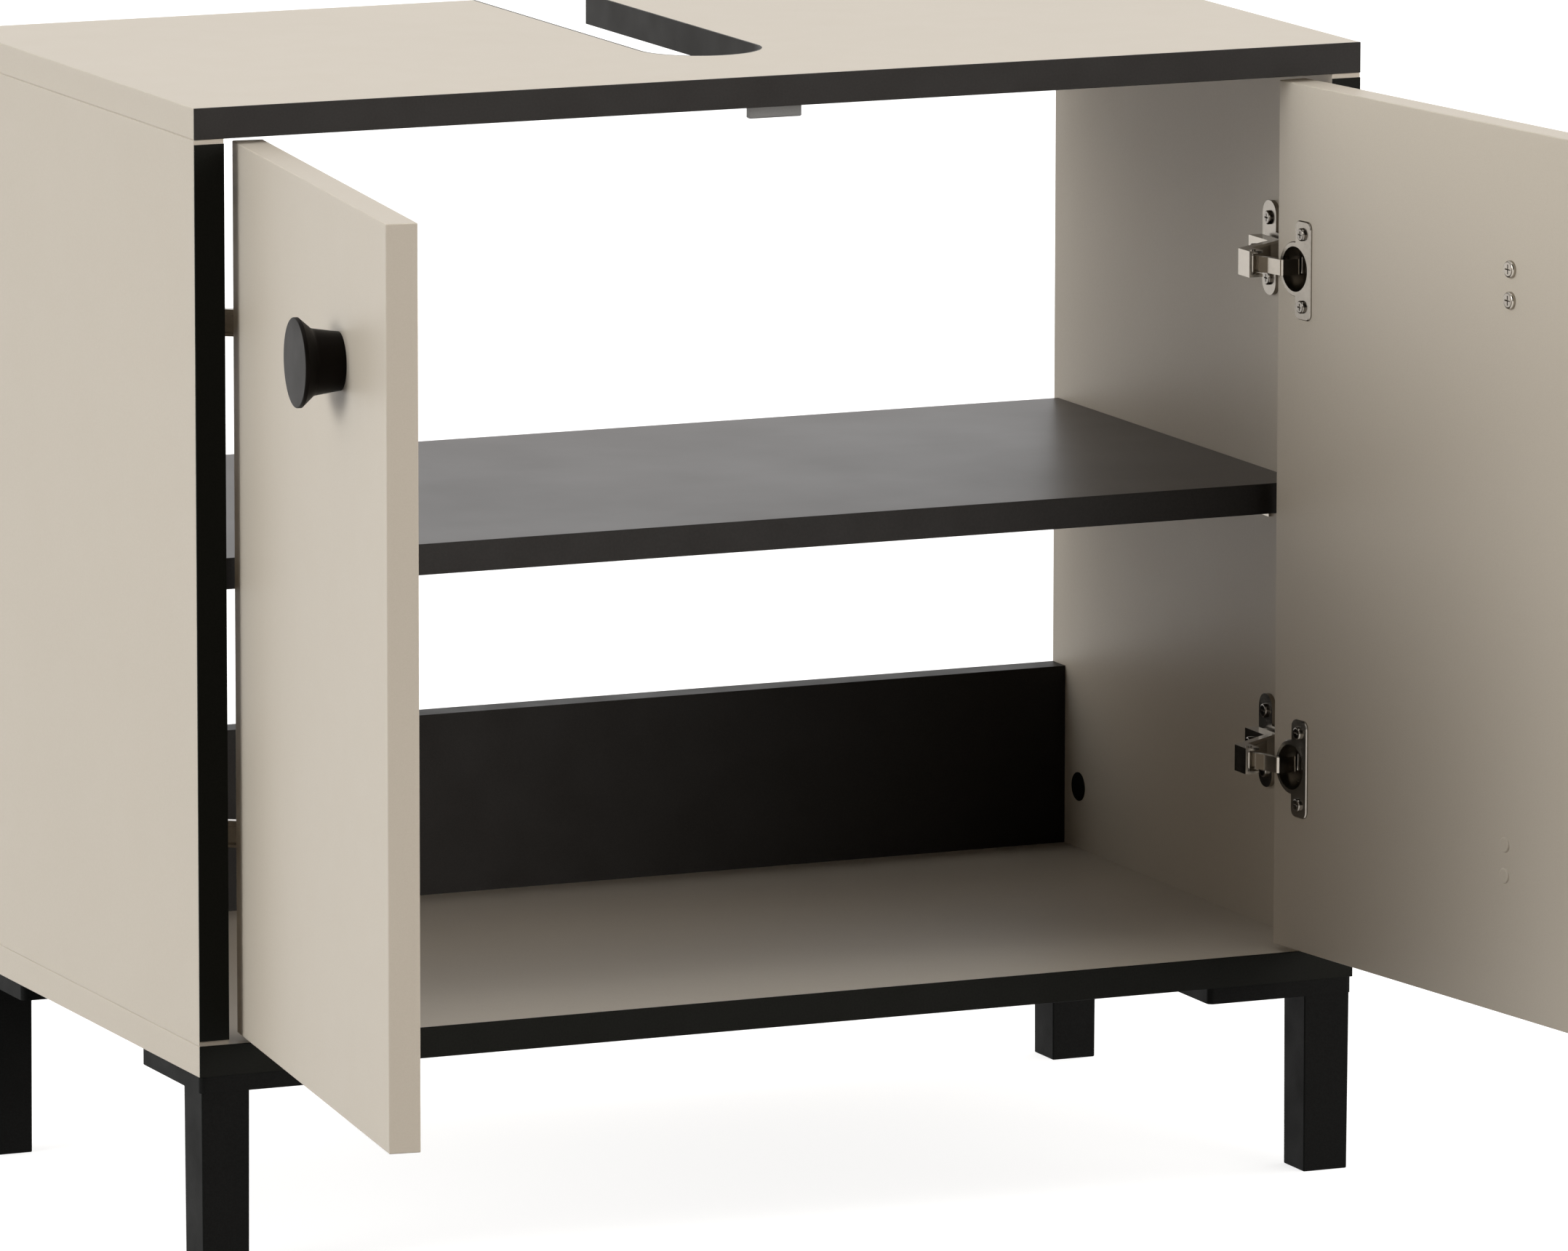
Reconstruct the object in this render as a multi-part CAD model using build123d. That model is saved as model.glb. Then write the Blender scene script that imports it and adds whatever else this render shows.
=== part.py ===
from build123d import *
import os
from collections import namedtuple
from math import atan2, degrees

# A bathroom vanity base cabinet on four legs. The carcass is open at the back, with a siphon
# cut-out in its top, one shelf and two inset doors on concealed cranked hinges. Millimetres.
# +Z is up, +X is to the right of someone who faces the doors, and the doors face -Y.
# The origin is on the floor, at the centre of the carcass's footprint.
# The doors are modelled as they stand at rest: open by DOOR_REST_ANGLE.

# Carcass
CABINET_WIDTH = 650
CABINET_DEPTH = 340
BOX_HEIGHT = 495
LEG_HEIGHT = 103
BOARD = 16
BAND = 1.0
BAND_ROUND = 0.3
BOARD_ROUND = 0.5
JOINT_EASE = 0.4          # chamfer of the outer edges where the sides meet the top and bottom
BARE_BOARD = 2.5          # left bare above and below the bands of the sides

# Siphon cut-out: a U, open at the rear edge of the top
CUTOUT_WIDTH = 64
CUTOUT_FRONT = 84         # from the front plane to the closed end
CUTOUT_BAND = 1.2

# Shelf, on four pins
SHELF_HEIGHT = 244.5      # from the bottom panel to the shelf's upper face
SHELF_SETBACK = 29.5
SHELF_REAR_GAP = 6
SHELF_END_GAP = 0.5
PIN_SETBACK = 45          # from the shelf's front or rear edge
PIN_RADIUS = 2.5
PIN_DEPTH = 9
SPOON_LENGTH = 9
SPOON_WIDTH = 11
SPOON_THICKNESS = 1.6
SPOON_RIB = 5.5
SPOON_RIB_THICKNESS = 2

# Back rail
RAIL_HEIGHT = 98

# Fittings between the boards
CAM_RADIUS = 7.5
CAM_DEPTH = 12.5
CAM_REACH = 34            # from the joint to the cam's axis
CAM_EDGE = 34             # from the front or rear edge of the side
CAM_SOCKET = 4.2
BOLT_HEAD_RADIUS = 3.5
BOLT_HEAD_LENGTH = 6
BOLT_SHANK_RADIUS = 2.2
BOLT_COLLAR_RADIUS = 3.6
BOLT_COLLAR_LENGTH = 8
BOLT_THREAD_RADIUS = 2.9
BOLT_THREAD_LENGTH = 10.5
BOLT_BORE_RADIUS = 4
CAP_RADIUS = 7.9
CAP_THICKNESS = 0.9
DOWEL_RADIUS = 4
DOWEL_LENGTH = 30
DOWEL_DEPTH = 11          # into the board whose face is bored
DOWEL_END_GAP = 1
DOWEL_FROM_CAM = 32
RAIL_DOWEL_HEIGHTS = (24, 74)

# Door stop, under the middle of the top
STOP_WIDTH = 29
STOP_DEPTH = 22
STOP_HEIGHT = 8
STOP_FLANGE = 2
STOP_PLATE = 3.8
STOP_GAP = 0.5            # to the closed doors
STOP_SCREW_SPACING = 15

# Legs, each moulded in one piece with its plate
LEG_WIDTH = 26
LEG_DEPTH = 25
LEG_TAPER = 0.4           # drawn in on each side from plate to floor
LEG_WALL = 3
LEG_ROUND = 0.8
LEG_PLATE = 83
LEG_PLATE_THICKNESS = 8.5
LEG_PLATE_ROUND = 3
LEG_PLATE_INSET = 0.4     # from the outer faces of the box
LEG_INSET = 0.9           # from the plate's outer edges
LEG_SCREW_INSET = 12      # from the plate's edges
LEG_SCREW_SINK = 4

# Doors
DOOR_BOARD = 16
DOOR_GAP = 3
DOOR_ROUND = 0.6
DOOR_REST_ANGLE = 97.5

# Door hinges, in plan: distances are from the side's inner face and from the front plane
HINGE_FROM_DOOR_END = 97
DOOR_PIVOT = (12.1, 3.85)
LINK_PIVOT = (34.8, 22.35)
LINK_HOOK = (29.7, 12.2)
LINK_ELBOW = (27.45, 2.0)
LINK_TIP = (18.95, 2.2)
LINK_THICKNESS = 3
LINK_HEIGHT = 8.2
LINK_EYE_RADIUS = 2.2
HINGE_PIN_RADIUS = 1
PIN_HEAD_RADIUS = 1.7
PIN_HEAD_HEIGHT = 0.45
RUNNING_CLEARANCE = 0.05

# Hinge cups, let into the doors: distances are from the door's hinge edge
CUP_RADIUS = 13
CUP_DEPTH = 12
CUP_EDGE = 4.5
CUP_WALL = 0.7
CUP_HOLLOW_SHIFT = 0.3    # of the hollow's axis towards the hinge edge
CUP_FLANGE = 1.2
CUP_FLANGE_EASE = 0.5
CUP_RING_RADIUS = 14.5
CUP_WING_EDGE = 17.5
CUP_WING_WIDTH = 14.5
CUP_WING_HEIGHT = 52
CUP_WING_ROUND = 4
CUP_SCREW_EDGE = 24.5
CUP_SCREW_SPACING = 38
CUP_PIN_RADIUS = 0.8
CUP_PIN_EDGE = 6.9
CUP_PIN_DEPTH = 10.4      # below the door's inner face

# Hinge arms and their mounting plates
ARM_SHEET = 1.4
ARM_SIDE_GAP = 1.4        # between the link and the cheeks
RAIL_SIDE_GAP = 0.3
ARM_FRONT = 17.6
ARM_CRANK_FRONT = 31
ARM_CRANK_REAR = 50
ARM_REAR = 73
ARM_EYE_GAP = 0.4
ARM_CHEEK_DEPTH = 7.8
ARM_LOW_WEB = 12.5        # outer face of the low end, from the side
ARM_LOW_CHEEK = 5
ARM_SCREWS = (56.5, 66)
LEAF_THICKNESS = 0.6
LEAF_WIDTH = 7
LEAF_LENGTH = 24
RAIL_FRONT = 53
RAIL_REAR = 75
PLATE_BASE = 2.5
PLATE_BASE_WIDTH = 18
WING_FRONT = 61
WING_WIDTH = 16
WING_HEIGHT = 50
PLATE_SCREW_SPACING = 32

# Knobs
KNOB_FROM_HINGE_EDGE = 214
KNOB_FROM_DOOR_END = 80
KNOB_FACE_RADIUS = 22.25
KNOB_WAIST_RADIUS = 16.6
KNOB_WAIST_BLEND = 3
KNOB_FOOT_RADIUS = 14.5
KNOB_PROJECTION = 22.5
KNOB_FLARE_START = 14.1
KNOB_RIM = 2
KNOB_ROUND = 0.6
KNOB_SCREW_SPACING = 16
KNOB_SCREW_BORE = 10
PLUG_RADIUS = 4
PLUG_HEAD = 1
PLUG_HEAD_ROUND = 0.8
PLUG_STEM_RADIUS = 2.4
PLUG_STEM_LENGTH = 7

Screw = namedtuple("Screw", "head_radius head_height shank_radius length")
PLATE_SCREW = Screw(3.75, 1.8, 2.0, 14)
ARM_SCREW = Screw(3.2, 2.0, 2.0, 8)
CUP_SCREW = Screw(3.4, 1.6, 1.75, 12)
LEG_SCREW = Screw(4.0, 2.5, 2.2, 15)
STOP_SCREW = Screw(2.9, 1.5, 1.5, 14)
KNOB_SCREW = Screw(4.5, 2.2, 2.0, 25)
HOLE_CLEARANCE = 0.1
HOLE_END_GAP = 0.5
RECESS_WIDTH = 0.8
RECESS_REACH = 1.1        # length of the recess, in head radii
SCREW_SINK_GAP = 0.3

# Planes and levels that follow from the sizes above
SIDE_OUTER = CABINET_WIDTH / 2
SIDE_INNER = SIDE_OUTER - BOARD
FRONT = -CABINET_DEPTH / 2
REAR = CABINET_DEPTH / 2
BOARD_FRONT = FRONT + BAND
BOX_UNDER = LEG_HEIGHT
BOTTOM_FACE = BOX_UNDER + BOARD
BOX_TOP = BOX_UNDER + BOX_HEIGHT
TOP_UNDER = BOX_TOP - BOARD

DOOR_HINGE_EDGE = DOOR_GAP - SIDE_INNER
DOOR_WIDTH = SIDE_INNER - DOOR_GAP - DOOR_GAP / 2
DOOR_LOW = BOTTOM_FACE + DOOR_GAP
DOOR_HIGH = TOP_UNDER - DOOR_GAP
DOOR_OUTER = FRONT
DOOR_INNER = FRONT + DOOR_BOARD
HINGE_LEVELS = (DOOR_LOW + HINGE_FROM_DOOR_END, DOOR_HIGH - HINGE_FROM_DOOR_END)

SHELF_TOP = BOTTOM_FACE + SHELF_HEIGHT
SHELF_UNDER = SHELF_TOP - BOARD
SHELF_FRONT = FRONT + SHELF_SETBACK
SHELF_REAR = REAR - SHELF_REAR_GAP
SHELF_HALF = SIDE_INNER - SHELF_END_GAP
PIN_PLACES = (SHELF_FRONT + PIN_SETBACK, SHELF_REAR - PIN_SETBACK)

CAM_PLACES = (FRONT + CAM_EDGE, REAR - CAM_EDGE)
DOWEL_PLACES = (CAM_PLACES[0] + DOWEL_FROM_CAM, CAM_PLACES[1] - DOWEL_FROM_CAM)
ARM_INNER_HALF = LINK_HEIGHT / 2 + ARM_SIDE_GAP
CUP_OUTER = CUP_RADIUS - HOLE_CLEARANCE
CUP_HOLLOW_RADIUS = CUP_OUTER - CUP_WALL - CUP_HOLLOW_SHIFT


def block(x_range, y_range, z_range):
    """A box between two values on each axis."""
    spans = (x_range, y_range, z_range)
    centre = Vector(*[sum(span) / 2 for span in spans])
    return Pos(centre) * Box(*[span[1] - span[0] for span in spans])


def rod(start, direction, radius, length):
    """A cylinder from a start point along a direction."""
    return Plane(origin=start, z_dir=direction) * Cylinder(
        radius, length, align=(Align.CENTER, Align.CENTER, Align.MIN))


def plan_prism(points, z_range):
    """An upright prism over a plan outline."""
    face = make_face(Polyline(*points, close=True))
    return Pos(0, 0, z_range[0]) * extrude(face, z_range[1] - z_range[0])


def rounded(solid, axis, radius):
    """The solid with its edges along one axis rounded."""
    return fillet(solid.edges().filter_by(axis), radius)


def mirrored(solid):
    """The same piece on the right-hand side."""
    return mirror(solid, about=Plane.YZ)


def make_screw(spec, seat, direction):
    """A cross-recess screw. The seat is the point under its head, the direction is inwards."""
    frame = Plane(origin=seat, z_dir=direction)
    head = Cylinder(spec.head_radius, spec.head_height,
                    align=(Align.CENTER, Align.CENTER, Align.MAX))
    rim = head.edges().sort_by(Axis.Z)[0]
    head = fillet(rim, spec.head_height / 2)
    shank = Cylinder(spec.shank_radius, spec.length,
                     align=(Align.CENTER, Align.CENTER, Align.MIN))
    point = shank.edges().sort_by(Axis.Z)[-1]
    shank = chamfer(point, spec.shank_radius / 2)
    slot = Box(spec.head_radius * RECESS_REACH, RECESS_WIDTH, spec.head_height)
    slot = Pos(0, 0, -spec.head_height) * slot
    return frame * (head + shank - slot - Rot(0, 0, 90) * slot)


def screw_hole(spec, seat, direction):
    """The hole for a screw's shank."""
    return rod(seat, direction, spec.shank_radius + HOLE_CLEARANCE, spec.length + HOLE_END_GAP)


def hinge_point(plan_point, z=0):
    """A point of the left side's hinges, given from the side's inner face and the front plane."""
    return (plan_point[0] - SIDE_INNER, plan_point[1] + FRONT, z)


def with_holes(solid, holes):
    """The solid less every hole that reaches it."""
    for hole in holes:
        solid = solid - hole
    return solid


def front_band(x_range, front, z_range):
    """A band glued on a board's front edge."""
    band = block(x_range, (front, front + BAND), z_range)
    front_edges = band.faces().sort_by(Axis.Y)[0].edges()
    return fillet(front_edges, BAND_ROUND)


def make_pins():
    """Spoon pins that carry the shelf: a peg in the side and a plate under the shelf."""
    pins = []
    for place in PIN_PLACES:
        spoon_face = SHELF_UNDER - SPOON_THICKNESS
        axis_level = spoon_face - PIN_RADIUS + SPOON_THICKNESS / 2
        peg = rod((-SIDE_INNER - PIN_DEPTH, place, axis_level), (1, 0, 0), PIN_RADIUS, PIN_DEPTH)
        half = SPOON_WIDTH / 2
        plate = block((-SIDE_INNER, -SIDE_INNER + SPOON_LENGTH), (place - half, place + half),
                      (spoon_face, SHELF_UNDER))
        wall = block((-SIDE_INNER, -SIDE_INNER + SPOON_THICKNESS), (place - half, place + half),
                     (axis_level - SPOON_RIB, SHELF_UNDER))
        rib = block((-SIDE_INNER, -SIDE_INNER + SPOON_LENGTH - SPOON_THICKNESS),
                    (place - SPOON_RIB_THICKNESS / 2, place + SPOON_RIB_THICKNESS / 2),
                    (axis_level - PIN_RADIUS, SHELF_UNDER))
        pin = peg + plate + wall + rib
        pins += [pin, mirrored(pin)]
    return pins


def pin_holes():
    """The holes of the left side for the shelf pins."""
    level = SHELF_UNDER - SPOON_THICKNESS / 2 - PIN_RADIUS
    start = -SIDE_INNER - PIN_DEPTH - HOLE_END_GAP
    depth = PIN_DEPTH + HOLE_END_GAP
    return [rod((start, place, level), (1, 0, 0), PIN_RADIUS + HOLE_CLEARANCE, depth)
            for place in PIN_PLACES]


def cam_joints():
    """Each cam of the left side: its place along the side, its joint's level and the way up."""
    for place in CAM_PLACES:
        yield place, BOTTOM_FACE, 1
        yield place, TOP_UNDER, -1


def make_cams():
    """Cam locks of both sides, with the socket that grips the bolt's head."""
    cams = []
    for place, joint, way in cam_joints():
        level = joint + way * CAM_REACH
        cam = rod((-SIDE_INNER, place, level), (-1, 0, 0), CAM_RADIUS - HOLE_CLEARANCE, CAM_DEPTH)
        bolt_axis = -SIDE_INNER - BOARD / 2
        socket = rod((bolt_axis, place, level + way * CAM_SOCKET), (0, 0, -way), CAM_SOCKET,
                     CAM_RADIUS + CAM_SOCKET)
        slot = block((-SIDE_INNER - BOLT_SHANK_RADIUS, -SIDE_INNER),
                     (place - CAM_SOCKET, place + CAM_SOCKET),
                     (level - RECESS_WIDTH, level + RECESS_WIDTH))
        cam = cam - socket - slot
        cams += [cam, mirrored(cam)]
    return cams


def make_bolts():
    """Cam bolts, screwed into the top and the bottom, with their heads in the cams."""
    bolts = []
    for place, joint, way in cam_joints():
        axis = -SIDE_INNER - BOARD / 2
        thread = rod((axis, place, joint), (0, 0, -way), BOLT_THREAD_RADIUS, BOLT_THREAD_LENGTH)
        collar = rod((axis, place, joint), (0, 0, way), BOLT_COLLAR_RADIUS, BOLT_COLLAR_LENGTH)
        shank = rod((axis, place, joint), (0, 0, way), BOLT_SHANK_RADIUS, CAM_REACH)
        head_start = joint + way * (CAM_REACH - BOLT_HEAD_LENGTH / 2)
        head = rod((axis, place, head_start), (0, 0, way), BOLT_HEAD_RADIUS, BOLT_HEAD_LENGTH)
        bolt = thread + collar + shank + head
        bolts += [bolt, mirrored(bolt)]
    return bolts


def cam_holes():
    """What the cams and bolts take out of the left side and of the boards above and below it."""
    holes = []
    axis = -SIDE_INNER - BOARD / 2
    for place, joint, way in cam_joints():
        level = joint + way * CAM_REACH
        holes.append(rod((-SIDE_INNER, place, level), (-1, 0, 0), CAM_RADIUS,
                         CAM_DEPTH + HOLE_END_GAP))
        holes.append(rod((axis, place, joint), (0, 0, way), BOLT_BORE_RADIUS, CAM_REACH))
        holes.append(rod((axis, place, joint), (0, 0, -way), BOLT_THREAD_RADIUS + HOLE_CLEARANCE,
                         BOLT_THREAD_LENGTH + HOLE_END_GAP))
    return holes


def make_caps():
    """Cover caps over the cams, on the inner faces of the sides."""
    caps = []
    for place, joint, way in cam_joints():
        cap = rod((-SIDE_INNER, place, joint + way * CAM_REACH), (1, 0, 0), CAP_RADIUS, CAP_THICKNESS)
        cap = chamfer(cap.edges().sort_by(Axis.X)[-1], CAP_THICKNESS / 2)
        caps += [cap, mirrored(cap)]
    return caps


def dowel_lines():
    """Start point and direction of each dowel on the left, from its end in the bored face."""
    axis = -SIDE_INNER - BOARD / 2
    lines = []
    for place in DOWEL_PLACES:
        lines.append(((axis, place, BOTTOM_FACE - DOWEL_DEPTH), (0, 0, 1)))
        lines.append(((axis, place, TOP_UNDER + DOWEL_DEPTH), (0, 0, -1)))
    for height in RAIL_DOWEL_HEIGHTS:
        start = (-SIDE_INNER - DOWEL_DEPTH, REAR - BOARD / 2, BOTTOM_FACE + height)
        lines.append((start, (1, 0, 0)))
    return lines


def make_dowels():
    """Wooden dowels of all the board joints."""
    dowels = []
    for start, direction in dowel_lines():
        dowel = rod(start, direction, DOWEL_RADIUS, DOWEL_LENGTH)
        dowels += [dowel, mirrored(dowel)]
    return dowels


def dowel_holes():
    """The left-hand dowel holes, a little deeper than the dowels at both ends."""
    holes = []
    for start, direction in dowel_lines():
        start = Vector(*start) - Vector(*direction) * DOWEL_END_GAP
        holes.append(rod(start, direction, DOWEL_RADIUS + RUNNING_CLEARANCE,
                         DOWEL_LENGTH + 2 * DOWEL_END_GAP))
    return holes


def hinge_plate(level):
    """Mounting plate: two wings screwed to the side and a rail that carries the arm."""
    rail_half = ARM_INNER_HALF - RAIL_SIDE_GAP
    rail_top = ARM_LOW_WEB - ARM_SHEET
    plan_x = -SIDE_INNER
    wing = block((plan_x, plan_x + PLATE_BASE), (FRONT + WING_FRONT, FRONT + WING_FRONT + WING_WIDTH),
                 (level - WING_HEIGHT / 2, level + WING_HEIGHT / 2))
    wing = rounded(wing, Axis.X, WING_WIDTH / 2 - BOARD_ROUND)
    base = block((plan_x, plan_x + PLATE_BASE), (FRONT + RAIL_FRONT, FRONT + RAIL_REAR),
                 (level - PLATE_BASE_WIDTH / 2, level + PLATE_BASE_WIDTH / 2))
    base = rounded(base, Axis.X, PLATE_BASE)
    rail = block((plan_x, plan_x + rail_top), (FRONT + RAIL_FRONT, FRONT + RAIL_REAR),
                 (level - rail_half, level + rail_half))
    plate = wing + base + rail
    holes = [screw_hole(PLATE_SCREW, seat, (-1, 0, 0)) for seat in plate_screw_seats(level)]
    holes += [screw_hole(ARM_SCREW, seat, (-1, 0, 0)) for seat in arm_screw_seats(level)]
    return with_holes(plate, holes)


def plate_screw_seats(level):
    """Points under the heads of the screws that hold a plate on the left side."""
    y = FRONT + WING_FRONT + WING_WIDTH / 2
    half = PLATE_SCREW_SPACING / 2
    return [(-SIDE_INNER + PLATE_BASE, y, level + offset) for offset in (-half, half)]


def arm_screw_seats(level):
    """Points under the heads of the screws that hold an arm on its plate."""
    return [(-SIDE_INNER + ARM_LOW_WEB, FRONT + distance, level) for distance in ARM_SCREWS]


def hinge_arm(level):
    """Cranked channel arm: low over its plate, raised at the front where the link pivots."""
    high_web = LINK_PIVOT[0] + LINK_EYE_RADIUS + ARM_EYE_GAP + ARM_SHEET
    high_cheek = high_web - ARM_CHEEK_DEPTH
    outline = [(high_web, ARM_FRONT), (high_web, ARM_CRANK_FRONT), (ARM_LOW_WEB, ARM_CRANK_REAR),
               (ARM_LOW_WEB, ARM_REAR), (ARM_LOW_CHEEK, ARM_REAR), (ARM_LOW_CHEEK, ARM_CRANK_REAR),
               (high_cheek, ARM_CRANK_FRONT), (high_cheek, ARM_FRONT)]
    outer_half = ARM_INNER_HALF + ARM_SHEET
    arm = plan_prism([hinge_point(p)[:2] for p in outline], (level - outer_half, level + outer_half))
    shift = ARM_SHEET / 2
    channel = [(high_web - ARM_SHEET, 0), (high_web - ARM_SHEET, ARM_CRANK_FRONT - shift),
               (ARM_LOW_WEB - ARM_SHEET, ARM_CRANK_REAR - shift),
               (ARM_LOW_WEB - ARM_SHEET, ARM_REAR + ARM_SHEET),
               (0, ARM_REAR + ARM_SHEET), (0, 0)]
    arm = arm - plan_prism([hinge_point(p)[:2] for p in channel],
                           (level - ARM_INNER_HALF, level + ARM_INNER_HALF))
    pin_start = hinge_point(LINK_PIVOT, level - outer_half)
    arm = arm - rod(pin_start, (0, 0, 1), HINGE_PIN_RADIUS + RUNNING_CLEARANCE, 2 * outer_half)
    holes = [screw_hole(ARM_SCREW, seat, (-1, 0, 0)) for seat in arm_screw_seats(level)]
    return with_holes(arm, holes)


def arm_pin(level):
    """Riveted pin across the arm's front end, on which the link turns."""
    half = ARM_INNER_HALF + ARM_SHEET
    pin = rod(hinge_point(LINK_PIVOT, level - half), (0, 0, 1), HINGE_PIN_RADIUS, 2 * half)
    low_head = rod(hinge_point(LINK_PIVOT, level - half), (0, 0, -1), PIN_HEAD_RADIUS, PIN_HEAD_HEIGHT)
    high_head = rod(hinge_point(LINK_PIVOT, level + half), (0, 0, 1), PIN_HEAD_RADIUS, PIN_HEAD_HEIGHT)
    return pin + low_head + high_head


def leaf_spring(level):
    """Leaf spring that lies against the inside of the arm's sloping web."""
    high_web = LINK_PIVOT[0] + LINK_EYE_RADIUS + ARM_EYE_GAP
    low_web = ARM_LOW_WEB - ARM_SHEET
    shift = ARM_SHEET / 2
    front = Vector(*hinge_point((high_web, ARM_CRANK_FRONT - shift), level))
    rear = Vector(*hinge_point((low_web, ARM_CRANK_REAR - shift), level))
    slope = degrees(atan2(rear.Y - front.Y, rear.X - front.X))
    leaf = Box(LEAF_LENGTH, LEAF_THICKNESS, LEAF_WIDTH, align=(Align.CENTER, Align.MIN, Align.CENTER))
    return Pos((front + rear) / 2) * Rot(0, 0, slope) * leaf


def link_span(start, end, level):
    """One straight stretch of a link, with round ends."""
    run = Vector(*hinge_point(end)) - Vector(*hinge_point(start))
    angle = degrees(atan2(run.Y, run.X))
    middle = (Vector(*hinge_point(start)) + Vector(*hinge_point(end))) / 2
    slot = SlotCenterToCenter(run.length, LINK_THICKNESS)
    low = Vector(0, 0, level - LINK_HEIGHT / 2)
    return Pos(middle + low) * Rot(0, 0, angle) * extrude(slot, LINK_HEIGHT)


def hinge_link(level):
    """Hooked link that reaches from the arm's pin round the door's edge into the cup."""
    eye = rod(hinge_point(LINK_PIVOT, level - LINK_HEIGHT / 2), (0, 0, 1), LINK_EYE_RADIUS, LINK_HEIGHT)
    route = (LINK_PIVOT, LINK_HOOK, LINK_ELBOW, LINK_TIP)
    link = eye
    for start, end in zip(route, route[1:]):
        link = link + link_span(start, end, level)
    bore = rod(hinge_point(LINK_PIVOT, level - LINK_HEIGHT), (0, 0, 1),
               HINGE_PIN_RADIUS + RUNNING_CLEARANCE, 2 * LINK_HEIGHT)
    return link - bore


def cup_centre(level, y, shift=0):
    """A point on the axis of a hinge cup of the closed left door, or beside it."""
    return (DOOR_HINGE_EDGE + CUP_EDGE + CUP_RADIUS - shift, y, level)


def hinge_cup(level):
    """Pressed cup with a ring and a wing for its screws, in the closed left door."""
    cup = rod(cup_centre(level, DOOR_INNER), (0, -1, 0), CUP_OUTER, CUP_DEPTH)
    ring = rod(cup_centre(level, DOOR_INNER), (0, 1, 0), CUP_RING_RADIUS, CUP_FLANGE)
    ring = chamfer(ring.edges().sort_by(Axis.Y)[-1], CUP_FLANGE_EASE)
    wing_x = DOOR_HINGE_EDGE + CUP_WING_EDGE
    wing = block((wing_x, wing_x + CUP_WING_WIDTH), (DOOR_INNER, DOOR_INNER + CUP_FLANGE),
                 (level - CUP_WING_HEIGHT / 2, level + CUP_WING_HEIGHT / 2))
    wing = rounded(wing, Axis.Y, CUP_WING_ROUND)
    wing = chamfer(wing.faces().sort_by(Axis.Y)[-1].edges(), CUP_FLANGE_EASE)
    hollow = rod(cup_centre(level, DOOR_INNER + CUP_FLANGE, CUP_HOLLOW_SHIFT), (0, -1, 0),
                 CUP_HOLLOW_RADIUS, CUP_DEPTH + CUP_FLANGE - CUP_WALL)
    holes = [screw_hole(CUP_SCREW, seat, (0, -1, 0)) for seat in cup_screw_seats(level)]
    return with_holes(cup + ring + wing - hollow, holes)


def cup_screw_seats(level):
    """Points under the heads of a cup's screws."""
    half = CUP_SCREW_SPACING / 2
    return [(DOOR_HINGE_EDGE + CUP_SCREW_EDGE, DOOR_INNER + CUP_FLANGE, level + offset)
            for offset in (-half, half)]


def cup_pin(level):
    """Pin across the cup, near its hinge-side wall."""
    x = DOOR_HINGE_EDGE + CUP_PIN_EDGE
    from_axis = CUP_EDGE + CUP_RADIUS - CUP_HOLLOW_SHIFT - CUP_PIN_EDGE + CUP_PIN_RADIUS
    half = (CUP_HOLLOW_RADIUS ** 2 - from_axis ** 2) ** 0.5
    return rod((x, DOOR_INNER - CUP_PIN_DEPTH, level - half), (0, 0, 1), CUP_PIN_RADIUS, 2 * half)


def knob_centre(y, level):
    """A point on the knob's axis, or on the axis of the spare holes, on the closed left door."""
    return (DOOR_HINGE_EDGE + KNOB_FROM_HINGE_EDGE, y, level)


def knob_screw_seats(level):
    """Points on the door's inner face where the knob's screws pass through."""
    x, y, z = knob_centre(DOOR_INNER, level)
    half = KNOB_SCREW_SPACING / 2
    return [(x, y, z - half), (x, y, z + half)]


def make_knob(level):
    """Round knob: a slightly tapered neck that flares into a flat face."""
    outline = Polyline((0, 0), (KNOB_FOOT_RADIUS, 0), (KNOB_WAIST_RADIUS, KNOB_FLARE_START),
                       (KNOB_FACE_RADIUS, KNOB_PROJECTION - KNOB_RIM),
                       (KNOB_FACE_RADIUS, KNOB_PROJECTION), (0, KNOB_PROJECTION), close=True)
    knob = revolve(Plane.XZ * make_face(outline), Axis.Z)
    rings = knob.edges().filter_by(GeomType.CIRCLE).group_by(Axis.Z)
    knob = fillet(rings[1], KNOB_WAIST_BLEND)
    knob = fillet(knob.edges().group_by(Axis.Z)[-1], KNOB_ROUND)
    placed = Plane(origin=knob_centre(DOOR_OUTER, level), z_dir=(0, -1, 0)) * knob
    bores = [rod((seat[0], DOOR_OUTER, seat[2]), (0, -1, 0), KNOB_SCREW.shank_radius + HOLE_CLEARANCE,
                 KNOB_SCREW_BORE) for seat in knob_screw_seats(level)]
    return with_holes(placed, bores)


def make_plugs(level):
    """Low round plugs in the spare knob holes."""
    plugs = []
    for seat in knob_screw_seats(level):
        head = rod(seat, (0, 1, 0), PLUG_RADIUS, PLUG_HEAD)
        head = fillet(head.edges().sort_by(Axis.Y)[-1], PLUG_HEAD_ROUND)
        plugs.append(head + rod(seat, (0, -1, 0), PLUG_STEM_RADIUS, PLUG_STEM_LENGTH))
    return plugs


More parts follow.
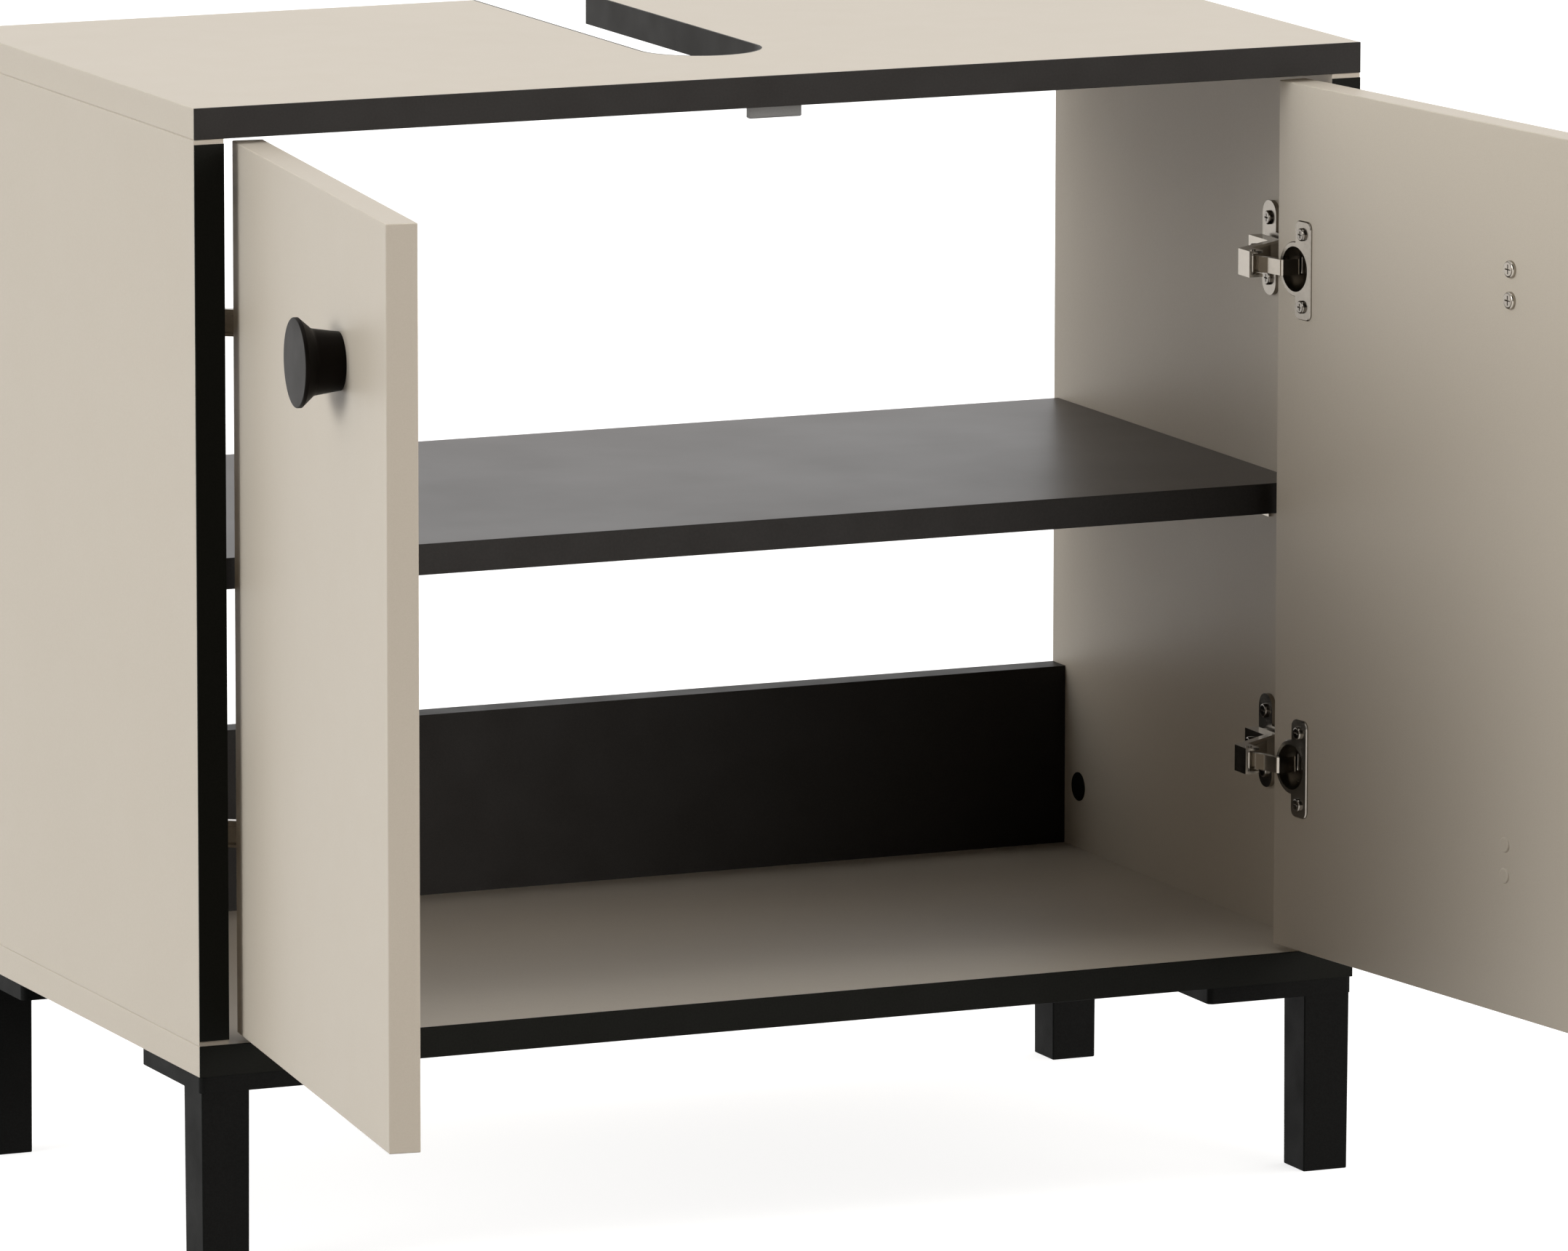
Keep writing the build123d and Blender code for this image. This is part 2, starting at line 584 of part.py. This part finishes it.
def door_panel():
    """The closed left door's board with its cup bores and screw holes."""
    hinge_edge = DOOR_HINGE_EDGE
    door = block((hinge_edge, hinge_edge + DOOR_WIDTH), (DOOR_OUTER, DOOR_INNER), (DOOR_LOW, DOOR_HIGH))
    door = fillet(door.edges(), DOOR_ROUND)
    holes = []
    for level in HINGE_LEVELS:
        holes.append(rod(cup_centre(level, DOOR_INNER), (0, -1, 0), CUP_RADIUS, CUP_DEPTH))
        holes += [screw_hole(CUP_SCREW, seat, (0, -1, 0)) for seat in cup_screw_seats(level)]
    holes += [screw_hole(KNOB_SCREW, seat, (0, -1, 0)) for seat in knob_screw_seats(KNOB_LEVEL)]
    holes += [rod(seat, (0, -1, 0), PLUG_STEM_RADIUS + HOLE_CLEARANCE, PLUG_STEM_LENGTH + HOLE_END_GAP)
              for seat in knob_screw_seats(SPARE_LEVEL)]
    return with_holes(door, holes)


def opened(solid):
    """A piece of the closed left door, turned about the door's pivot to where it rests."""
    pivot = Pos(Vector(*hinge_point(DOOR_PIVOT)))
    return pivot * Rot(0, 0, -DOOR_REST_ANGLE) * pivot.inverse() * solid


def make_leg():
    """Front left leg with its plate. It is hollow, open under the box."""
    plate_x = -SIDE_OUTER + LEG_PLATE_INSET
    plate_y = FRONT + LEG_PLATE_INSET
    plate_under = BOX_UNDER - LEG_PLATE_THICKNESS
    plate = block((plate_x, plate_x + LEG_PLATE), (plate_y, plate_y + LEG_PLATE),
                  (plate_under, BOX_UNDER))
    plate = rounded(plate, Axis.Z, LEG_PLATE_ROUND)
    leg_x = plate_x + LEG_INSET + LEG_WIDTH / 2
    leg_y = plate_y + LEG_INSET + LEG_DEPTH / 2
    high = Pos(leg_x, leg_y, plate_under) * Rectangle(LEG_WIDTH, LEG_DEPTH)
    low = Pos(leg_x, leg_y, 0) * Rectangle(LEG_WIDTH - 2 * LEG_TAPER, LEG_DEPTH - 2 * LEG_TAPER)
    shank = loft([low, high])
    upright = [edge for edge in shank.edges() if edge.length > LEG_DEPTH + LEG_WIDTH]
    shank = fillet(upright, LEG_ROUND)
    shank = chamfer(shank.faces().sort_by(Axis.Z)[0].edges(), LEG_ROUND / 2)
    hollow = block((leg_x - LEG_WIDTH / 2 + LEG_WALL, leg_x + LEG_WIDTH / 2 - LEG_WALL),
                   (leg_y - LEG_DEPTH / 2 + LEG_WALL, leg_y + LEG_DEPTH / 2 - LEG_WALL),
                   (LEG_WALL, BOX_UNDER))
    leg = plate + shank - hollow
    sinks = [rod((x, y, plate_under), (0, 0, 1), LEG_SCREW.head_radius + SCREW_SINK_GAP,
                 LEG_SCREW_SINK) for x, y, z in leg_screw_seats()]
    holes = [screw_hole(LEG_SCREW, seat, (0, 0, 1)) for seat in leg_screw_seats()]
    return with_holes(leg, sinks + holes)


def leg_screw_seats():
    """Points under the heads of the front left leg's screws, at the corners clear of the leg."""
    near_x = -SIDE_OUTER + LEG_PLATE_INSET + LEG_SCREW_INSET
    near_y = FRONT + LEG_PLATE_INSET + LEG_SCREW_INSET
    far = LEG_PLATE - 2 * LEG_SCREW_INSET
    level = BOX_UNDER - LEG_PLATE_THICKNESS + LEG_SCREW_SINK
    return [(near_x + far, near_y, level), (near_x + far, near_y + far, level),
            (near_x, near_y + far, level)]


def on_corners(solid):
    """A piece of the front left corner, repeated at the other three."""
    rear = mirror(solid, about=Plane.XZ)
    return {"left_front": solid, "right_front": mirrored(solid), "left_rear": rear,
            "right_rear": mirrored(rear)}


def make_stop():
    """Door stop: an angle under the middle of the top, with its thick plate towards the doors."""
    half = STOP_WIDTH / 2
    front = DOOR_INNER + STOP_GAP
    flange = block((-half, half), (front, front + STOP_DEPTH), (TOP_UNDER - STOP_FLANGE, TOP_UNDER))
    flange = rounded(flange, Axis.Z, BOARD_ROUND)
    plate = block((-half, half), (front, front + STOP_PLATE), (TOP_UNDER - STOP_HEIGHT, TOP_UNDER))
    plate = chamfer(plate.faces().sort_by(Axis.Z)[0].edges(), BOARD_ROUND)
    holes = [screw_hole(STOP_SCREW, seat, (0, 0, 1)) for seat in stop_screw_seats()]
    return with_holes(flange + plate, holes)


def stop_screw_seats():
    """Points under the heads of the stop's screws, on the flange behind the plate."""
    y = DOOR_INNER + STOP_GAP + (STOP_PLATE + STOP_DEPTH) / 2
    half = STOP_SCREW_SPACING / 2
    return [(x, y, TOP_UNDER - STOP_FLANGE) for x in (-half, half)]


def cutout(width):
    """The U of the siphon cut-out, through the top, for a given width between its walls."""
    centre_y = FRONT + CUTOUT_FRONT + CUTOUT_WIDTH / 2
    round_end = rod((0, centre_y, TOP_UNDER), (0, 0, 1), width / 2, BOARD)
    return round_end + block((-width / 2, width / 2), (centre_y, REAR), (TOP_UNDER, BOX_TOP))


def both(solids):
    """Left-hand pieces with their mirror images."""
    return solids + [mirrored(solid) for solid in solids]


def save(name, *solids):
    """Write one node as a STEP file."""
    shape = solids[0] if len(solids) == 1 else Compound(list(solids))
    export_step(shape, f"parts/{name}.step")


KNOB_LEVEL = DOOR_HIGH - KNOB_FROM_DOOR_END
SPARE_LEVEL = DOOR_LOW + KNOB_FROM_DOOR_END
os.makedirs("parts", exist_ok=True)

# Holes on the left, which the boards share
joint_holes = cam_holes() + dowel_holes()
plate_holes = [screw_hole(PLATE_SCREW, seat, (-1, 0, 0))
               for level in HINGE_LEVELS for seat in plate_screw_seats(level)]
leg_seats = on_corners(Compound([screw_hole(LEG_SCREW, seat, (0, 0, 1)) for seat in leg_screw_seats()]))

# Top
top_holes = both(joint_holes) + [screw_hole(STOP_SCREW, seat, (0, 0, 1)) for seat in stop_screw_seats()]
top = block((-SIDE_OUTER, SIDE_OUTER), (BOARD_FRONT, REAR), (TOP_UNDER, BOX_TOP))
top = fillet(top.faces().sort_by(Axis.Z)[-1].edges().filter_by(Axis.Y), BOARD_ROUND)
top = chamfer(top.faces().sort_by(Axis.Z)[0].edges().filter_by(Axis.Y), JOINT_EASE)
top = top - cutout(CUTOUT_WIDTH + 2 * CUTOUT_BAND)
save("top_panel", with_holes(top, top_holes))
save("top_front_band", front_band((-SIDE_OUTER, SIDE_OUTER), FRONT, (TOP_UNDER, BOX_TOP)))
save("cutout_band", cutout(CUTOUT_WIDTH + 2 * CUTOUT_BAND) - cutout(CUTOUT_WIDTH))

# Sides
side = block((-SIDE_OUTER, -SIDE_INNER), (BOARD_FRONT, REAR), (BOTTOM_FACE, TOP_UNDER))
side = chamfer(side.faces().sort_by(Axis.X)[0].edges().filter_by(Axis.Y), JOINT_EASE)
side = with_holes(side, joint_holes + plate_holes + pin_holes())
side_band = front_band((-SIDE_OUTER, -SIDE_INNER), FRONT,
                       (BOTTOM_FACE + BARE_BOARD, TOP_UNDER - BARE_BOARD))
save("left_side_panel", side)
save("right_side_panel", mirrored(side))
save("left_side_front_band", side_band)
save("right_side_front_band", mirrored(side_band))

# Bottom, shelf and back rail
bottom = block((-SIDE_OUTER, SIDE_OUTER), (BOARD_FRONT, REAR), (BOX_UNDER, BOTTOM_FACE))
bottom = chamfer(bottom.faces().sort_by(Axis.Z)[-1].edges().filter_by(Axis.Y), JOINT_EASE)
save("bottom_panel", with_holes(bottom, both(joint_holes) + list(leg_seats.values())))
save("bottom_front_band", front_band((-SIDE_OUTER, SIDE_OUTER), FRONT, (BOX_UNDER, BOTTOM_FACE)))
shelf_levels = (SHELF_UNDER, SHELF_TOP)
save("shelf_board", block((-SHELF_HALF, SHELF_HALF), (SHELF_FRONT + BAND, SHELF_REAR), shelf_levels))
save("shelf_front_band", front_band((-SHELF_HALF, SHELF_HALF), SHELF_FRONT, shelf_levels))
rail_levels = (BOTTOM_FACE, BOTTOM_FACE + RAIL_HEIGHT)
rail = block((-SIDE_INNER, SIDE_INNER), (REAR - BOARD, REAR), rail_levels)
save("back_rail", with_holes(rail, both(dowel_holes())))

# Fittings of the carcass
save("shelf_pins", *make_pins())
save("cam_locks", *make_cams())
save("cam_bolts", *make_bolts())
save("cam_cover_caps", *make_caps())
save("dowels", *make_dowels())
save("door_stop", make_stop())
save("door_stop_screws", *[make_screw(STOP_SCREW, seat, (0, 0, 1)) for seat in stop_screw_seats()])

# Legs
for corner, leg in on_corners(make_leg()).items():
    save(f"{corner}_leg", leg)
leg_screws = [make_screw(LEG_SCREW, seat, (0, 0, 1)) for seat in leg_screw_seats()]
save("leg_screws", *[copy for screw in leg_screws for copy in on_corners(screw).values()])

# Hinge pieces on the sides, and the links
for name, level in zip(("lower", "upper"), HINGE_LEVELS):
    save(f"left_{name}_hinge_plate", hinge_plate(level))
    save(f"right_{name}_hinge_plate", mirrored(hinge_plate(level)))
    save(f"left_{name}_hinge_arm", hinge_arm(level))
    save(f"right_{name}_hinge_arm", mirrored(hinge_arm(level)))
save("hinge_plate_screws", *both([make_screw(PLATE_SCREW, seat, (-1, 0, 0))
                                  for level in HINGE_LEVELS for seat in plate_screw_seats(level)]))
save("hinge_arm_screws", *both([make_screw(ARM_SCREW, seat, (-1, 0, 0))
                                for level in HINGE_LEVELS for seat in arm_screw_seats(level)]))
save("hinge_arm_pins", *both([arm_pin(level) for level in HINGE_LEVELS]))
save("hinge_leaf_springs", *both([leaf_spring(level) for level in HINGE_LEVELS]))
links = [hinge_link(level) for level in HINGE_LEVELS]
save("left_hinge_links", *links)
save("right_hinge_links", *[mirrored(link) for link in links])

# Doors, with what rides on them
door_pieces = {
    "door_panel": [door_panel()],
    "hinge_cups": [hinge_cup(level) for level in HINGE_LEVELS],
    "hinge_cup_pins": [cup_pin(level) for level in HINGE_LEVELS],
    "hinge_cup_screws": [make_screw(CUP_SCREW, seat, (0, -1, 0))
                         for level in HINGE_LEVELS for seat in cup_screw_seats(level)],
    "knob": [make_knob(KNOB_LEVEL)],
    "knob_screws": [make_screw(KNOB_SCREW, seat, (0, -1, 0)) for seat in knob_screw_seats(KNOB_LEVEL)],
    "spare_hole_plugs": make_plugs(SPARE_LEVEL),
}
for name, solids in door_pieces.items():
    left_solids = [opened(solid) for solid in solids]
    save(f"left_{name}", *left_solids)
    save(f"right_{name}", *[mirrored(solid) for solid in left_solids])
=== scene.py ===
import bpy
from math import cos, sin
from mathutils import Matrix, Vector

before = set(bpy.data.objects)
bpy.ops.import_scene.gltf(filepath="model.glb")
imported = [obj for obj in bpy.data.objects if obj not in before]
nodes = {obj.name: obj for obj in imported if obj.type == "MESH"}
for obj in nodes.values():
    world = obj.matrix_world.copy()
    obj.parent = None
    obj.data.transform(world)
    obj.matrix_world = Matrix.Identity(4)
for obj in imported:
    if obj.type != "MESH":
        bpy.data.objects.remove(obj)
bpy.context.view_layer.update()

# Camera, fitted to the photograph's edges. Angles are in radians.
CAMERA_PLACE = (-2.7412, -6.3650, 1.5038)
CAMERA_YAW = 0.4163           # to the right of straight at the doors
CAMERA_PITCH = 0.1740         # down
CAMERA_ROLL = -0.0014
LENS = 307.6
SENSOR = 36.0
CLIP_END = 100

# Light
SKY_EVEN = (0.030, 0.026, 0.022)
SKY_GLOWS = (                 # direction, colour, level and narrowness of each soft glow
    ((-1.00, -0.10, 0.25), (0.98, 0.985, 0.975), 11.5, 24),
    ((0.42, -0.88, 0.14), (1.00, 0.955, 0.91), 8.8, 24),
    ((0.00, 0.00, 1.00), (0.99, 0.985, 0.97), 4.9, 24),
    ((-0.70, 0.70, 0.30), (1.00, 0.93, 0.85), 0.5, 4),
    ((0.00, 0.80, 0.50), (1.00, 0.93, 0.85), 0.8, 4),
    ((1.00, 0.00, 0.15), (1.00, 0.97, 0.94), 3.2, 4),
)
FLOOR_SIZE = 30.0
FLOOR_PAINT = (0.110, 0.090, 0.070)    # what lights the object from below
FLOOR_SHADE = 0.45            # how strongly the floor shows the object's shadow
FLOOR_WHITE = 0.80            # its level where nothing lights it

# Colours, linear
WHITE = (1.0, 1.0, 1.0)
BEIGE = (0.518, 0.469, 0.398)
BEIGE_DARKER = (0.500, 0.451, 0.380)
# Two copies of one black edge band: the darker one is painted shade on the side and bottom bands,
# the lighter one is painted light on the top and shelf bands.
BAND_COLOUR_PAINTED_SHADE = (0.0044, 0.0046, 0.0034)
BAND_COLOUR_PAINTED_LIGHT = (0.0130, 0.0115, 0.0105)
BOARD_BLACK = (0.0090, 0.0075, 0.0062)
SHELF_BLACK = (0.0150, 0.0105, 0.0080)
SHELF_SHEEN = (1.00, 0.86, 0.79)
LEG_BLACK = (0.0048, 0.0050, 0.0047)
KNOB_BLACK = (0.0035, 0.0029, 0.0024)
KNOB_SHEEN = (1.00, 0.86, 0.78)
LINING_GREY = (0.0150, 0.0138, 0.0122)
STOP_GREY = (0.1780, 0.1840, 0.1860)
NICKEL = (0.400, 0.366, 0.320)
# Darker copies of the hinge nickel, painted shade: on the plates and cups, and darker still on the
# screws and pins.
NICKEL_PAINTED_SHADE_PLATES = (0.300, 0.274, 0.238)
NICKEL_PAINTED_SHADE_PINS = (0.240, 0.220, 0.195)
ZINC = (0.560, 0.560, 0.560)
BEECH = (0.560, 0.390, 0.220)

# What all finishes share
SPECKLE_TINT = -0.06          # of the second colour, where a finish names none
COLOUR_SPAN = (0.35, 0.65)    # the part of the noise over which a colour changes
ROUGH_SPAN = (0.30, 0.70)
ROUGH_FINENESS = 6            # features of the roughness in one blotch
SPECKLE_DETAIL = 3
BLOTCH_DETAIL = 4
ROUGH_DETAIL = 5
GRAIN_DETAIL = 4
GRAIN_DEPTH = 0.0003
EVEN = (1, 1, 1)
ALONG_Z = (1, 1, 0.1)         # stretches the grain of the dowels along their length


def aim_camera():
    """The camera at the photograph's place and angle."""
    right = Vector((cos(CAMERA_YAW), -sin(CAMERA_YAW), 0))
    ahead = Vector((sin(CAMERA_YAW) * cos(CAMERA_PITCH), cos(CAMERA_YAW) * cos(CAMERA_PITCH),
                    -sin(CAMERA_PITCH)))
    up = right.cross(ahead)
    turned_right = right * cos(CAMERA_ROLL) - up * sin(CAMERA_ROLL)
    turned_up = right * sin(CAMERA_ROLL) + up * cos(CAMERA_ROLL)
    data = bpy.data.cameras.new("camera")
    data.lens = LENS
    data.sensor_width = SENSOR
    data.sensor_fit = "HORIZONTAL"
    data.clip_end = CLIP_END
    camera = bpy.data.objects.new("camera", data)
    turn = Matrix((turned_right, turned_up, -ahead)).transposed()
    camera.matrix_world = Matrix.Translation(CAMERA_PLACE) @ turn.to_4x4()
    bpy.context.scene.collection.objects.link(camera)
    bpy.context.scene.camera = camera


def add(tree, kind, **settings):
    """A shader node with some of its settings."""
    node = tree.nodes.new(kind)
    for name, value in settings.items():
        setattr(node, name, value)
    return node


def feed(tree, socket, value):
    """Links a socket to another node's output, or gives it a fixed value."""
    if isinstance(value, bpy.types.NodeSocket):
        tree.links.new(value, socket)
    else:
        socket.default_value = value


def computed(tree, operation, first, second):
    """The result of an operation on two outputs or numbers."""
    node = add(tree, "ShaderNodeMath", operation=operation)
    feed(tree, node.inputs[0], first)
    feed(tree, node.inputs[1], second)
    return node.outputs["Value"]


def surface_noise(tree, scale, detail, stretch=EVEN):
    """Noise fixed to the piece. The scale is in features per metre."""
    place = add(tree, "ShaderNodeTexCoord")
    mapping = add(tree, "ShaderNodeMapping")
    noise = add(tree, "ShaderNodeTexNoise")
    feed(tree, mapping.inputs["Vector"], place.outputs["Object"])
    feed(tree, mapping.inputs["Scale"], stretch)
    feed(tree, noise.inputs["Vector"], mapping.outputs["Vector"])
    feed(tree, noise.inputs["Scale"], scale)
    feed(tree, noise.inputs["Detail"], detail)
    return noise.outputs["Fac"]


def ramp(tree, factor, colours, span=COLOUR_SPAN):
    """A colour that runs from the first to the second as the factor runs over the span."""
    node = add(tree, "ShaderNodeValToRGB")
    for element, colour, position in zip(node.color_ramp.elements, colours, span):
        element.position = position
        element.color = (*colour, 1)
    feed(tree, node.inputs["Fac"], factor)
    return node.outputs["Color"]


def grey(level):
    """A neutral colour of a level."""
    return (level, level, level)


def tinted(colour, amount):
    """The colour made lighter or darker by an amount."""
    return tuple(channel * (1 + amount) for channel in colour)


def finish(name, colour, second=None, speckle=1200, blotch=7, cloud=0.03, roughness=(0.4, 0.5),
           grain=900, bump=0.05, stretch=EVEN, metallic=0.0, specular=0.5, sheen_tint=WHITE):
    """A material with speckled colour, uneven roughness and a fine grain in its bump.

    The speckles run between two colours, and the blotches, several per metre, darken them by up to
    the cloud's share. Speckle, blotch and grain are in features per metre.
    """
    material = bpy.data.materials.new(name)
    material.use_nodes = True
    tree = material.node_tree
    shader = tree.nodes["Principled BSDF"]
    speckle_colours = (colour, second or tinted(colour, SPECKLE_TINT))
    speckles = ramp(tree, surface_noise(tree, speckle, SPECKLE_DETAIL, stretch), speckle_colours)
    blotches = ramp(tree, surface_noise(tree, blotch, BLOTCH_DETAIL), (grey(1 - cloud), WHITE))
    mix = add(tree, "ShaderNodeMix", data_type="RGBA", blend_type="MULTIPLY")
    feed(tree, mix.inputs["Factor"], 1)
    feed(tree, mix.inputs["A"], speckles)
    feed(tree, mix.inputs["B"], blotches)
    feed(tree, shader.inputs["Base Color"], mix.outputs["Result"])
    rough_noise = surface_noise(tree, blotch * ROUGH_FINENESS, ROUGH_DETAIL)
    rough_greys = [grey(level) for level in roughness]
    feed(tree, shader.inputs["Roughness"], ramp(tree, rough_noise, rough_greys, ROUGH_SPAN))
    relief = add(tree, "ShaderNodeBump")
    feed(tree, relief.inputs["Strength"], bump)
    feed(tree, relief.inputs["Distance"], GRAIN_DEPTH)
    feed(tree, relief.inputs["Height"], surface_noise(tree, grain, GRAIN_DETAIL, stretch))
    feed(tree, shader.inputs["Normal"], relief.outputs["Normal"])
    feed(tree, shader.inputs["Metallic"], metallic)
    feed(tree, shader.inputs["Specular IOR Level"], specular)
    feed(tree, shader.inputs["Specular Tint"], (*sheen_tint, 1))
    return material


def dress(material, *names):
    """Gives CAD nodes a material."""
    for name in names:
        for place in nodes[name].material_slots:
            place.material = material


def viewed(tree):
    """Two outputs: 1 for what the camera sees itself, 1 for what mirrors or clear things show."""
    path = add(tree, "ShaderNodeLightPath")
    mirrored = computed(tree, "MAXIMUM", path.outputs["Is Glossy Ray"],
                        path.outputs["Is Transmission Ray"])
    return path.outputs["Is Camera Ray"], mirrored


def make_sky():
    """A studio of soft glows. The camera sees a white backdrop, and mirrors show it behind."""
    world = bpy.data.worlds.new("sky")
    bpy.context.scene.world = world
    world.use_nodes = True
    tree = world.node_tree
    place = add(tree, "ShaderNodeTexCoord").outputs["Generated"]
    total = SKY_EVEN
    for direction, colour, level, narrowness in SKY_GLOWS:
        facing = add(tree, "ShaderNodeVectorMath", operation="DOT_PRODUCT")
        feed(tree, facing.inputs[0], place)
        feed(tree, facing.inputs[1], Vector(direction).normalized())
        front = computed(tree, "MAXIMUM", facing.outputs["Value"], 0)
        glow = add(tree, "ShaderNodeVectorMath", operation="MULTIPLY_ADD")
        feed(tree, glow.inputs[0], computed(tree, "POWER", front, narrowness))
        feed(tree, glow.inputs[1], Vector(colour) * level)
        feed(tree, glow.inputs[2], total)
        total = glow.outputs["Vector"]

    camera_ray, mirrored_ray = viewed(tree)
    split = add(tree, "ShaderNodeSeparateXYZ")
    feed(tree, split.inputs["Vector"], place)
    behind = computed(tree, "GREATER_THAN", split.outputs["Y"], 0)
    mirrored_behind = computed(tree, "MULTIPLY", mirrored_ray, behind)
    seen = add(tree, "ShaderNodeMix", data_type="RGBA")
    feed(tree, seen.inputs["Factor"], computed(tree, "MAXIMUM", camera_ray, mirrored_behind))
    feed(tree, seen.inputs["A"], total)
    feed(tree, seen.inputs["B"], (*WHITE, 1))
    feed(tree, tree.nodes["Background"].inputs["Color"], seen.outputs["Result"])


def make_floor():
    """A pale floor that shows white to the camera and keeps a soft shadow."""
    bpy.ops.mesh.primitive_plane_add(size=FLOOR_SIZE, location=(0, 0, 0))
    floor = bpy.context.object
    floor.name = "floor"
    material = bpy.data.materials.new("floor")
    material.use_nodes = True
    tree = material.node_tree
    tree.nodes.remove(tree.nodes["Principled BSDF"])
    paint = add(tree, "ShaderNodeBsdfDiffuse")
    feed(tree, paint.inputs["Color"], (*FLOOR_PAINT, 1))
    shade = add(tree, "ShaderNodeBsdfDiffuse")
    feed(tree, shade.inputs["Color"], (*grey(FLOOR_SHADE), 1))
    glow = add(tree, "ShaderNodeEmission")
    feed(tree, glow.inputs["Color"], (*WHITE, 1))
    feed(tree, glow.inputs["Strength"], FLOOR_WHITE)
    white_floor = add(tree, "ShaderNodeAddShader")
    feed(tree, white_floor.inputs[0], shade.outputs["BSDF"])
    feed(tree, white_floor.inputs[1], glow.outputs["Emission"])
    choose = add(tree, "ShaderNodeMixShader")
    feed(tree, choose.inputs["Fac"], computed(tree, "MAXIMUM", *viewed(tree)))
    feed(tree, choose.inputs[1], paint.outputs["BSDF"])
    feed(tree, choose.inputs[2], white_floor.outputs["Shader"])
    feed(tree, tree.nodes["Material Output"].inputs["Surface"], choose.outputs["Shader"])
    floor.data.materials.append(material)


def dress_cabinet():
    """Every CAD node's finish."""
    melamine = finish("beige_melamine", BEIGE, BEIGE_DARKER, speckle=1500, cloud=0.012,
                      roughness=(0.42, 0.45), bump=0.04, specular=0.4)
    # The black edge band in two copies: painted shade on the side and bottom bands, painted light
    # on the top and shelf bands.
    band = finish("black_band", BAND_COLOUR_PAINTED_SHADE, tinted(BAND_COLOUR_PAINTED_SHADE, 0.5), speckle=900,
                  roughness=(0.42, 0.52), grain=1500, specular=0.06)
    edge_band_with_painted_light = finish("edge_band_with_painted_light", BAND_COLOUR_PAINTED_LIGHT, tinted(BAND_COLOUR_PAINTED_LIGHT, 0.3), speckle=900,
                       roughness=(0.42, 0.52), grain=1500, specular=0.15)
    rail = finish("black_melamine", BOARD_BLACK, tinted(BOARD_BLACK, 0.4),
                  roughness=(0.42, 0.52), specular=0.15)
    shelf = finish("dark_melamine", SHELF_BLACK, tinted(SHELF_BLACK, 0.2), speckle=1400, blotch=2,
                   roughness=(0.34, 0.38), bump=0.02, specular=0.6, sheen_tint=SHELF_SHEEN)
    plastic = finish("grained_black_plastic", LEG_BLACK, tinted(LEG_BLACK, 0.5), speckle=1100,
                     roughness=(0.42, 0.55), grain=1300, bump=0.12, specular=0.04)
    lining = finish("grey_lining", LINING_GREY, grain=1500, specular=0.09)
    stop = finish("grey_plastic", STOP_GREY, roughness=(0.35, 0.45), grain=1500)
    coat = finish("black_powder_coat", KNOB_BLACK, tinted(KNOB_BLACK, 0.4), speckle=2500,
                  roughness=(0.36, 0.44), grain=2600, bump=0.12, specular=0.06,
                  sheen_tint=KNOB_SHEEN)
    nickel = finish("nickel", NICKEL, tinted(NICKEL, -0.05), speckle=500, blotch=20,
                    roughness=(0.16, 0.22), grain=1800, bump=0.02, metallic=1.0)
    # Darker copies of the nickel, painted shade: one for the hinge plates and cups, a darker one
    # for the screws and pins.
    plates_cups_painted_shade = finish("plates_cups_painted_shade", NICKEL_PAINTED_SHADE_PLATES, speckle=500, blotch=20,
                          roughness=(0.20, 0.28), grain=1800, bump=0.03, metallic=1.0)
    pins_screws_painted_shade = finish("pins_screws_painted_shade", NICKEL_PAINTED_SHADE_PINS, tinted(NICKEL_PAINTED_SHADE_PINS, -0.05), speckle=500,
                         blotch=20, roughness=(0.12, 0.18), grain=1800, bump=0.02, metallic=1.0)
    zinc = finish("zinc", ZINC, roughness=(0.35, 0.5), grain=1500, bump=0.1, metallic=1.0)
    beech = finish("beech", BEECH, tinted(BEECH, -0.2), speckle=900, roughness=(0.5, 0.65),
                   bump=0.2, stretch=ALONG_Z)

    dress(melamine, "top_panel", "left_side_panel", "right_side_panel", "bottom_panel",
          "left_door_panel", "right_door_panel")
    # Painted shade: the darker band copy.
    dress(band, "bottom_front_band", "left_side_front_band", "right_side_front_band")
    # Painted light: the lighter band copy.
    dress(edge_band_with_painted_light, "top_front_band", "shelf_front_band")
    dress(rail, "back_rail")
    dress(shelf, "shelf_board")
    dress(lining, "cutout_band")
    dress(stop, "door_stop")
    dress(plastic, "left_front_leg", "right_front_leg", "left_rear_leg", "right_rear_leg",
          "cam_cover_caps")
    dress(beech, "dowels")
    dress(zinc, "cam_locks")
    dress(nickel, "shelf_pins", "cam_bolts", "door_stop_screws", "leg_screws",
          "hinge_leaf_springs")
    # Painted shade: the darkest nickel copy, on screws and pins.
    dress(pins_screws_painted_shade, "hinge_plate_screws", "hinge_arm_screws", "hinge_arm_pins")
    # Hinge plates and cups get a darker nickel copy (painted shade); cup screws and pins get the
    # darkest copy (painted shade).
    for side in ("left", "right"):
        for level in ("lower", "upper"):
            dress(plates_cups_painted_shade, f"{side}_{level}_hinge_plate")
            dress(nickel, f"{side}_{level}_hinge_arm")
        dress(nickel, f"{side}_hinge_links", f"{side}_knob_screws")
        dress(plates_cups_painted_shade, f"{side}_hinge_cups")
        dress(pins_screws_painted_shade, f"{side}_hinge_cup_pins", f"{side}_hinge_cup_screws")
        dress(coat, f"{side}_knob")
        dress(melamine, f"{side}_spare_hole_plugs")


aim_camera()
make_sky()
make_floor()
dress_cabinet()
bpy.context.scene.view_settings.view_transform = "Standard"
